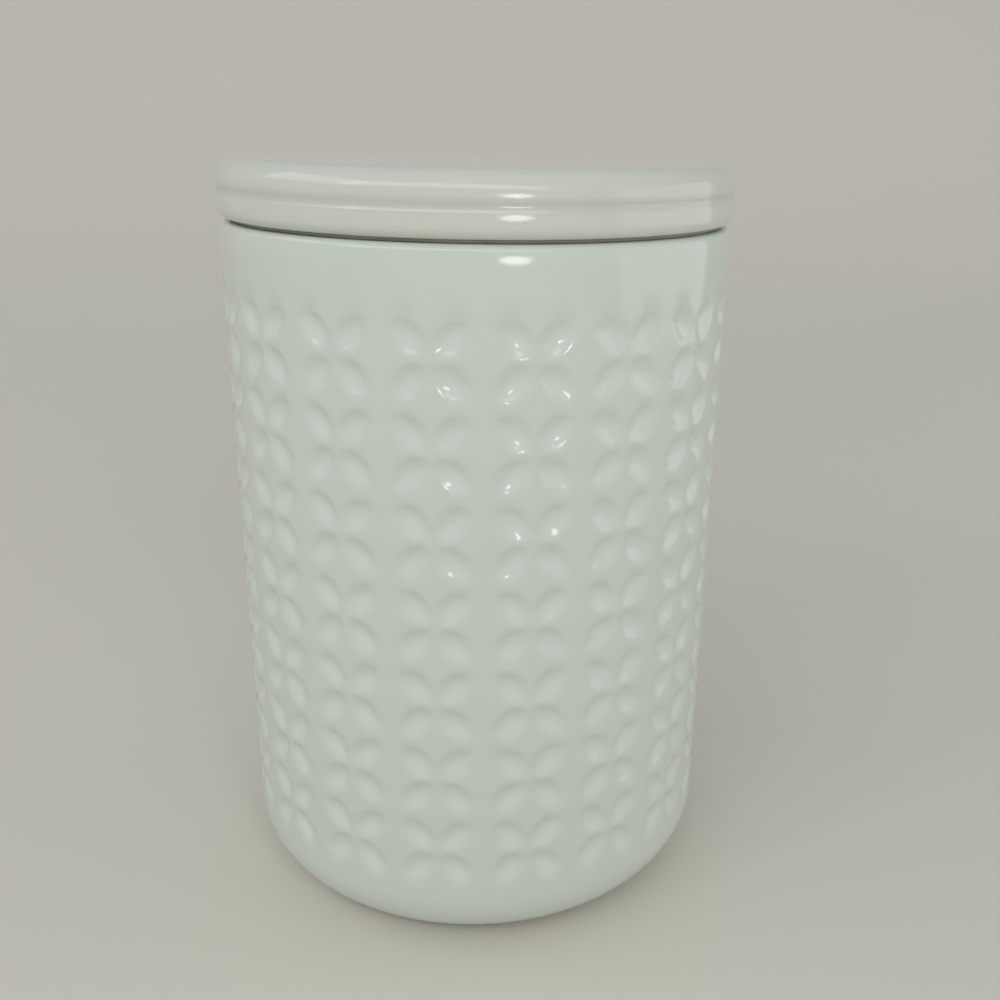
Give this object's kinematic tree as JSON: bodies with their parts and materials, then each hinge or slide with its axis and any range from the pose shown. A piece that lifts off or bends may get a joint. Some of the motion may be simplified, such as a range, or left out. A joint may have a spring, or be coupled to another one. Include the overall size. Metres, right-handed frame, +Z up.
{
  "type": "coffee canister",
  "caption": "Round glazed stoneware canister with a beaded lift-off lid, a silicone seal and a four-leaf dent repeat round its wall.",
  "frame": {"origin": "centre of the foot ring, on the surface that the canister stands on", "axes": "+Z up along the canister's axis, through the lid; -Y faces the viewer"},
  "size_m": [0.1168, 0.1168, 0.1742],
  "materials": {
    "jar_glaze": "glossy white glaze over stoneware, bare clay on the foot ring",
    "lid_glaze": "glossy white glaze over stoneware",
    "seal_silicone": "matt translucent grey silicone"
  },
  "bodies": {
    "canister": {"jar": "jar_glaze"},
    "lid": {"lid": "lid_glaze", "lid_seal": "seal_silicone"}
  },
  "joints": [
    {"name": "lid_lift", "type": "slide", "parent": "canister", "child": "lid", "axis": [0, 0, 1], "range_m": [0, 0.03]}
  ]
}
